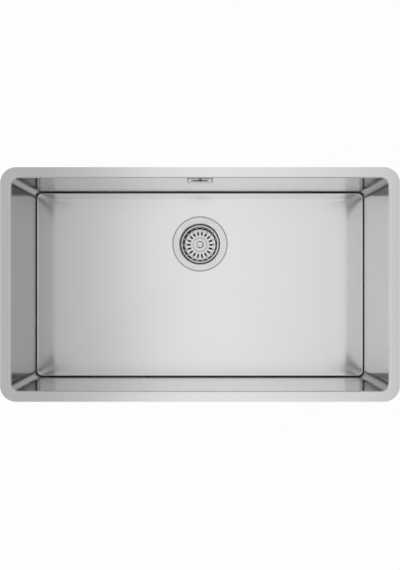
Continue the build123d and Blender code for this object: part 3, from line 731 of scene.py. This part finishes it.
def repeat_tree():
    """Geometry Nodes: one piece on every point of a mesh, its Z axis turned to the point's direction."""
    if REPEAT_TREE in bpy.data.node_groups:
        return bpy.data.node_groups[REPEAT_TREE]
    tree = bpy.data.node_groups.new(REPEAT_TREE, "GeometryNodeTree")
    for name, kind in (("Points", "NodeSocketGeometry"), ("Piece", "NodeSocketObject"),
                       ("Material", "NodeSocketMaterial")):
        tree.interface.new_socket(name=name, in_out="INPUT", socket_type=kind)
    tree.interface.new_socket(name="Pieces", in_out="OUTPUT", socket_type="NodeSocketGeometry")
    given = add_node(tree, "NodeGroupInput").outputs
    facing = add_node(tree, "GeometryNodeInputNamedAttribute", {"Name": FACING}, data_type="FLOAT_VECTOR")
    sockets = {"Vector": facing.outputs["Attribute"]}
    turned = add_node(tree, "FunctionNodeAlignRotationToVector", sockets, axis="Z")
    piece = add_node(tree, "GeometryNodeObjectInfo", {"Object": given["Piece"]})
    placed = add_node(tree, "GeometryNodeInstanceOnPoints", {
        "Points": given["Points"], "Instance": piece.outputs["Geometry"], "Rotation": turned.outputs[0]})
    real = add_node(tree, "GeometryNodeRealizeInstances", {"Geometry": placed.outputs[0]})
    sockets = {"Geometry": real.outputs[0], "Material": given["Material"]}
    finish = add_node(tree, "GeometryNodeSetMaterial", sockets)
    add_node(tree, "NodeGroupOutput", {"Pieces": finish.outputs[0]})
    return tree


def repeated(mesh, points, material):
    """A plain mesh with the small mesh at every (spot, direction)."""
    tree = repeat_tree()
    sockets = {item.name: item.identifier for item in tree.interface.items_tree if item.in_out == "INPUT"}
    small = bpy.data.objects.new("repeated_source", mesh)
    cloud = bpy.data.meshes.new("repeated_points")
    cloud.from_pydata([spot for spot, _ in points], [], [])
    facing = cloud.attributes.new(FACING, "FLOAT_VECTOR", "POINT")
    facing.data.foreach_set("vector", [value for _, direction in points for value in direction])
    holder = bpy.data.objects.new("repeated_holder", cloud)
    bpy.context.scene.collection.objects.link(small)
    bpy.context.scene.collection.objects.link(holder)
    modifier = holder.modifiers.new("repeat", "NODES")
    modifier.node_group = tree
    modifier[sockets["Piece"]] = small
    modifier[sockets["Material"]] = bpy.data.materials[material]
    bpy.context.view_layer.update()
    seen = holder.evaluated_get(bpy.context.evaluated_depsgraph_get())
    result = bpy.data.meshes.new_from_object(seen)
    bpy.data.objects.remove(holder)
    bpy.data.objects.remove(small)
    if not result.polygons:
        raise RuntimeError("the repeated pieces came out empty")
    return result


# ---------------------------------------------------------------- pieces

# How many steps go round each kind of piece, and how many rows of points go into one turn of a thread.
OUTLET_STEPS, OUTLET_ROWS = 96, 8
SCREW_STEPS, SCREW_ROWS = 36, 6
NUT_STEPS = 36
WELD_STEPS = 20
STUD_STEPS = 12

OUTLET_EDGE = 0.5 * MM

# The clip screws: rounding of the head, share of it that the socket takes, thread depth and bare end.
HEAD_ROUNDING, HEAD_ARC_STEPS = 1.2 * MM, 4
SOCKET_DEPTH_SHARE = 0.6
SCREW_THREAD_DEPTH = 0.45 * MM
SCREW_TIP, SCREW_TIP_TAPER = 0.4 * MM, 0.6 * MM

# The nuts: radius of the flat end as a share of the width, chamfer outside, lead-in at the bore, and the bore
# of the nut on the basket's stem.
NUT_FLAT_SHARE = 0.485
NUT_CHAMFER = math.radians(30)
NUT_LEAD = 0.25 * MM
PLUG_NUT_BORE = 3.05 * MM

# The spot welds sit in pairs on each lug's upright leg, placed from the clip's pivot towards the bowl's wall.
# Their section is in shares of radius and height, round a middle that lies lower.
PIVOT_TO_WALL = 9.5 * MM
LUG_SHEET = 1.5 * MM
WELD_BESIDE = 5.0 * MM
WELD_UP = 8.0 * MM
WELD_HEIGHT = 0.15 * MM
WELD_SECTION = ((1.0, 0.0), (0.85, 1.0), (0.6, 0.4))
WELD_MIDDLE = 0.3

STUD_TOP_SHARE = 0.7

# How deep welds and studs start inside of what carries them.
ROOTED = 0.2 * MM


def pivots():
    """Where the clips turn, as X and Y."""
    spots = [tuple(joint["pos_m"][:2]) for joint in frame["joints"] if joint["name"].startswith("swing_")]
    if not spots:
        raise RuntimeError("no clip joint was found")
    return spots


def outward(x, y):
    """The direction away from the bowl at a clip's pivot, along X or Y."""
    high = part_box("bowl")[1]
    beside = abs(x) / high.x > abs(y) / high.y
    return (math.copysign(1.0, x), 0.0, 0.0) if beside else (0.0, math.copysign(1.0, y), 0.0)


def on_pivots(work, name):
    """The small piece repeated, upright, at every clip's pivot."""
    points = [((x, y, 0.0), (0.0, 0.0, 1.0)) for x, y in pivots()]
    return repeated(mesh_from(work, name), points, "zinc_plate")


class SINK_OT_make_outlet(bpy.types.Operator):
    """Threads the outlet below the waste body"""

    bl_idname = "sink.make_outlet"
    bl_label = "Make the threaded outlet"

    def execute(self, context):
        size = context.scene.sink_details
        low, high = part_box("outlet_spigot")
        crest = (high.x - low.x) / 2
        bore = crest - size.outlet_wall
        root = crest - size.outlet_depth
        edge = OUTLET_EDGE

        def section(turn):
            rows = thread_rows(low.z + edge, high.z - 3 * edge, crest, size.outlet_depth,
                               size.outlet_pitch, turn, OUTLET_ROWS)
            return [(bore, high.z), (bore, low.z + edge), (bore + edge, low.z), (root - edge, low.z), *rows,
                    (crest, high.z - 2 * edge), (crest, high.z)]

        work = bmesh.new()
        ring_solid(work, section, OUTLET_STEPS, WASTE_CENTRE)
        add_piece("outlet_thread", mesh_from(work, "outlet_thread"), "waste_plastic", "waste_plastic", "sink",
                  "outlet_spigot")
        return {"FINISHED"}


class SINK_OT_make_clip_screws(bpy.types.Operator):
    """Makes the socket screws that the clips turn on"""

    bl_idname = "sink.make_clip_screws"
    bl_label = "Make the clip screws"

    def execute(self, context):
        size = context.scene.sink_details
        low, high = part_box("clip_screws")
        shoulder = low.z + size.screw_head_height
        floor = low.z + SOCKET_DEPTH_SHARE * size.screw_head_height

        def section(turn):
            socket = hexagon(turn, size.socket_width)
            head = [(socket, floor), (socket, low.z)]
            for step in range(HEAD_ARC_STEPS + 1):
                tilt = math.radians(90 * step / HEAD_ARC_STEPS)
                head.append((size.screw_head_radius - HEAD_ROUNDING * (1 - math.sin(tilt)),
                             low.z + HEAD_ROUNDING * (1 - math.cos(tilt))))
            rows = thread_rows(shoulder, high.z - SCREW_TIP, size.screw_radius, SCREW_THREAD_DEPTH,
                               size.screw_pitch, turn, SCREW_ROWS)
            tip = (size.screw_radius - SCREW_TIP_TAPER, high.z)
            return [*head, (size.screw_head_radius, shoulder), *rows, tip]

        work = bmesh.new()
        turned_solid(work, section, SCREW_STEPS, floor, high.z)
        mesh = on_pivots(work, "clip_screw")
        add_piece("clip_socket_screws", mesh, "zinc_plate", "zinc_plate", "sink", "clip_screws")
        return {"FINISHED"}


def nut_section(width, bore, low, high):
    """Section of a hexagon nut with both ends chamfered."""
    flat = NUT_FLAT_SHARE * width
    mouth = bore + NUT_LEAD

    def section(turn):
        corner = hexagon(turn, width)
        drop = (corner - flat) * math.tan(NUT_CHAMFER)
        return [(bore, low + NUT_LEAD), (bore, high - NUT_LEAD), (mouth, high), (flat, high),
                (corner, high - drop), (corner, low + drop), (flat, low), (mouth, low)]

    return section


class SINK_OT_make_nuts(bpy.types.Operator):
    """Makes the chamfered nuts of the clips and of the plug"""

    bl_idname = "sink.make_nuts"
    bl_label = "Make the nuts"

    def execute(self, context):
        size = context.scene.sink_details
        low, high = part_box("clip_nuts")
        work = bmesh.new()
        ring_solid(work, nut_section(size.nut_width, size.screw_radius, low.z, high.z), NUT_STEPS)
        mesh = on_pivots(work, "clip_nut")
        add_piece("clip_hex_nuts", mesh, "zinc_plate", "zinc_plate", "sink", "clip_nuts")

        low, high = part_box("plug_nut")
        work = bmesh.new()
        section = nut_section(high.y - low.y, PLUG_NUT_BORE, low.z, high.z)
        ring_solid(work, section, NUT_STEPS, WASTE_CENTRE)
        add_piece("plug_hex_nut", mesh_from(work, "plug_hex_nut"), "polished_basket_steel_slope_shade", "polished_steel",
                  body_of(frame["nodes"]["plug_nut"])[0], "plug_nut")
        return {"FINISHED"}


class SINK_OT_make_welds(bpy.types.Operator):
    """Adds the two spot welds on the upright leg of each lug"""

    bl_idname = "sink.make_welds"
    bl_label = "Make the spot welds"

    def execute(self, context):
        size = context.scene.sink_details
        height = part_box("clip_lugs")[0].z + WELD_UP
        back = PIVOT_TO_WALL - LUG_SHEET
        points = []
        for x, y in pivots():
            away = outward(x, y)
            for side in (-WELD_BESIDE, WELD_BESIDE):
                spot = (x - away[0] * back + away[1] * side, y - away[1] * back + away[0] * side, height)
                points.append((spot, away))
        outline = [(share * size.weld_radius, rise * WELD_HEIGHT) for share, rise in WELD_SECTION]
        work = bmesh.new()
        turned_solid(work, lambda turn: outline, WELD_STEPS, -ROOTED, WELD_MIDDLE * WELD_HEIGHT)
        mesh = repeated(mesh_from(work, "spot_weld"), points, "brushed_sheet_steel_painted_shade")
        add_piece("lug_spot_welds", mesh, "brushed_sheet_steel_painted_shade", "brushed_steel", "sink")
        return {"FINISHED"}


class SINK_OT_make_pad_studs(bpy.types.Operator):
    """Raises round studs on the sound-deadening pads"""

    bl_idname = "sink.make_pad_studs"
    bl_label = "Make the pad studs"

    def execute(self, context):
        size = context.scene.sink_details
        outline = ((size.stud_radius, 0.0), (STUD_TOP_SHARE * size.stud_radius, size.stud_height))
        for pad in pads():
            low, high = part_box(pad)
            middle = (low + high) / 2
            thin = min(range(3), key=lambda axis: high[axis] - low[axis])
            sign = -1.0 if thin == 2 else math.copysign(1.0, middle[thin])
            face = high[thin] if sign > 0 else low[thin]
            direction = tuple(sign if axis == thin else 0.0 for axis in range(3))
            first, second = (axis for axis in range(3) if axis != thin)
            spans = []
            for axis in (first, second):
                length = high[axis] - low[axis] - 2 * (size.stud_margin + size.stud_radius)
                count = max(1, math.floor(length / size.stud_pitch))
                spans.append([middle[axis] + (step / count - 0.5) * length for step in range(count + 1)])
            points = []
            for one in spans[0]:
                for two in spans[1]:
                    spot = [0.0, 0.0, 0.0]
                    spot[first], spot[second], spot[thin] = one, two, face
                    points.append((tuple(spot), direction))
            work = bmesh.new()
            turned_solid(work, lambda turn: outline, STUD_STEPS, -ROOTED, size.stud_height)
            mesh = repeated(mesh_from(work, "pad_stud"), points, "pad_rubber")
            add_piece(pad + "_studs", mesh, "pad_rubber", "pad_rubber", "sink")
        return {"FINISHED"}


# ---------------------------------------------------------------- studio

FLOOR_SIZE = 30.0
FLOOR_PAINT = 0.97
FLOOR_WHITE_SHARE = 0.97
SENSOR_WIDTH = 36.0

# Grey levels of the surroundings, from the horizon and below it (0) to straight up (1).
SKY_STOPS = ((0.0, 0.9), (0.15, 0.6), (0.3, 0.4), (0.7, 0.36), (1.0, 0.4))

# Levels of the ceiling light along X in metres. It fades to the least level between these distances along Y.
CEILING_STOPS = (
    (-2.8, 0.0), (-2.5, 1.95), (-1.5, 1.95), (-1.2, 0.51), (-0.86, 0.5), (-0.67, 0.57), (-0.5, 0.65),
    (-0.38, 0.74), (-0.19, 0.83), (0.0, 0.875), (0.2, 0.875), (0.4, 0.845), (0.57, 0.815), (0.76, 0.77),
    (0.95, 0.72), (1.1, 0.66), (1.4, 0.05))
CEILING_FADE = (1.2, 1.7)
CEILING_LEAST = 0.45


def flat_square(name, side, height, facing):
    """A square sheet facing up (1) or down (-1)."""
    mesh = bpy.data.meshes.new(name)
    work = bmesh.new()
    bmesh.ops.create_grid(work, x_segments=1, y_segments=1, size=side / 2)
    for vertex in work.verts:
        vertex.co.z = height
    if facing < 0:
        bmesh.ops.reverse_faces(work, faces=work.faces)
    work.to_mesh(mesh)
    work.free()
    sheet = bpy.data.objects.new(name, mesh)
    bpy.context.scene.collection.objects.link(sheet)
    return sheet


def background_rays(tree):
    """1 for rays from the camera, off metal and through glass, which see the white background."""
    rays = add_node(tree, "ShaderNodeLightPath").outputs
    seen = maths(tree, "MAXIMUM", rays["Is Camera Ray"], rays["Is Glossy Ray"])
    return maths(tree, "MAXIMUM", seen, rays["Is Transmission Ray"])


def floor_material():
    """Pale floor with the object's soft shadow, almost white to background rays and clear from below."""
    material = bpy.data.materials.new("studio_floor")
    tree = clean_tree(material)
    share = times(tree, background_rays(tree), FLOOR_WHITE_SHARE)
    paint = add_node(tree, "ShaderNodeBsdfDiffuse", {"Color": (*[FLOOR_PAINT] * 3, 1.0)}).outputs[0]
    white = add_node(tree, "ShaderNodeEmission", {"Color": (1.0, 1.0, 1.0, 1.0), "Strength": 1.0}).outputs[0]
    top = add_node(tree, "ShaderNodeMixShader", {0: share, 1: paint, 2: white}).outputs[0]
    clear = add_node(tree, "ShaderNodeBsdfTransparent").outputs[0]
    under = add_node(tree, "ShaderNodeNewGeometry").outputs["Backfacing"]
    both = add_node(tree, "ShaderNodeMixShader", {0: under, 1: top, 2: clear}).outputs[0]
    add_node(tree, "ShaderNodeOutputMaterial", {"Surface": both})
    return material


def level_ramp(tree, value, stops):
    """Grey levels along a value between 0 and 1, eased from stop to stop."""
    ramp = add_node(tree, "ShaderNodeValToRGB", {"Fac": value})
    ramp.color_ramp.interpolation = "EASE"
    elements = ramp.color_ramp.elements
    while len(elements) < len(stops):
        elements.new(0.5)
    for element, (position, level) in zip(elements, stops):
        element.position = position
        element.color = (level, level, level, 1.0)
    return ramp.outputs["Color"]


def ceiling_material():
    """Soft light that is dimmer on the left, as in the photograph."""
    material = bpy.data.materials.new("ceiling_light")
    tree = clean_tree(material)
    spot = parts(tree, place(tree))
    half = bpy.context.scene.sink_studio.ceiling_size / 2
    sockets = {"Value": spot["X"], "From Min": -half, "From Max": half}
    share = add_node(tree, "ShaderNodeMapRange", sockets).outputs[0]
    stops = [((x + half) / (2 * half), level) for x, level in CEILING_STOPS]
    fade = spread(tree, maths(tree, "ABSOLUTE", spot["Y"]), 1.0, CEILING_LEAST, *CEILING_FADE)
    glow = add_node(tree, "ShaderNodeEmission", {"Color": level_ramp(tree, share, stops), "Strength": fade})
    add_node(tree, "ShaderNodeOutputMaterial", {"Surface": glow.outputs[0]})
    return material


class SINK_OT_make_studio(bpy.types.Operator):
    """Sets up the floor, the ceiling light, the surroundings and the camera"""

    bl_idname = "sink.make_studio"
    bl_label = "Make the studio"

    def execute(self, context):
        scene = context.scene
        studio = scene.sink_studio
        floor = flat_square("studio_floor", FLOOR_SIZE, CAD_BOX[0][2] - studio.floor_gap, 1)
        floor.data.materials.append(floor_material())
        ceiling = flat_square("ceiling_light", studio.ceiling_size, studio.ceiling_height, -1)
        ceiling.data.materials.append(ceiling_material())
        ceiling.visible_camera = False

        world = bpy.data.worlds.new("studio_surroundings")
        scene.world = world
        tree = clean_tree(world)
        towards = add_node(tree, "ShaderNodeTexCoord").outputs["Generated"]
        level = level_ramp(tree, parts(tree, towards)["Z"], SKY_STOPS)
        level = maths(tree, "MAXIMUM", level, background_rays(tree))
        glow = add_node(tree, "ShaderNodeBackground", {"Color": grey(tree, level), "Strength": 1.0})
        add_node(tree, "ShaderNodeOutputWorld", {"Surface": glow.outputs[0]})

        camera = bpy.data.objects.new("camera", bpy.data.cameras.new("camera"))
        scene.collection.objects.link(camera)
        camera.location = (0.0, studio.camera_back, studio.camera_height)
        camera.data.sensor_width = SENSOR_WIDTH
        camera.data.lens = studio.camera_lens
        scene.camera = camera
        scene.view_settings.view_transform = "Standard"
        return {"FINISHED"}


# ---------------------------------------------------------------- panel and start

OPERATORS = (
    SINK_OT_finish_bowl, SINK_OT_finish_strainer, SINK_OT_finish_overflow_cover, SINK_OT_finish_plastics,
    SINK_OT_finish_seals, SINK_OT_finish_clips, SINK_OT_make_outlet, SINK_OT_make_clip_screws,
    SINK_OT_make_nuts, SINK_OT_make_welds, SINK_OT_make_pad_studs, SINK_OT_make_studio)


class SINK_PT_dressing(bpy.types.Panel):
    """Lists the steps that dress the sink"""

    bl_idname = "SINK_PT_dressing"
    bl_label = "Undermount sink"
    bl_space_type = "VIEW_3D"
    bl_region_type = "UI"
    bl_category = "Sink"

    def draw(self, context):
        layout = self.layout
        for operator in OPERATORS:
            layout.operator(operator.bl_idname)
        for group in (context.scene.sink_finishes, context.scene.sink_details, context.scene.sink_studio):
            box = layout.box()
            for name in group.__annotations__:
                box.prop(group, name)


CLASSES = (SinkFinishes, SinkDetails, SinkStudio, *OPERATORS, SINK_PT_dressing)


def register():
    for cls in CLASSES:
        bpy.utils.register_class(cls)
    bpy.types.Scene.sink_finishes = bpy.props.PointerProperty(type=SinkFinishes)
    bpy.types.Scene.sink_details = bpy.props.PointerProperty(type=SinkDetails)
    bpy.types.Scene.sink_studio = bpy.props.PointerProperty(type=SinkStudio)


def unregister():
    del bpy.types.Scene.sink_studio
    del bpy.types.Scene.sink_details
    del bpy.types.Scene.sink_finishes
    for cls in reversed(CLASSES):
        bpy.utils.unregister_class(cls)


def main():
    register()
    for operator in OPERATORS:
        group, name = operator.bl_idname.split(".")
        getattr(getattr(bpy.ops, group), name)()


if __name__ == "__main__":
    main()
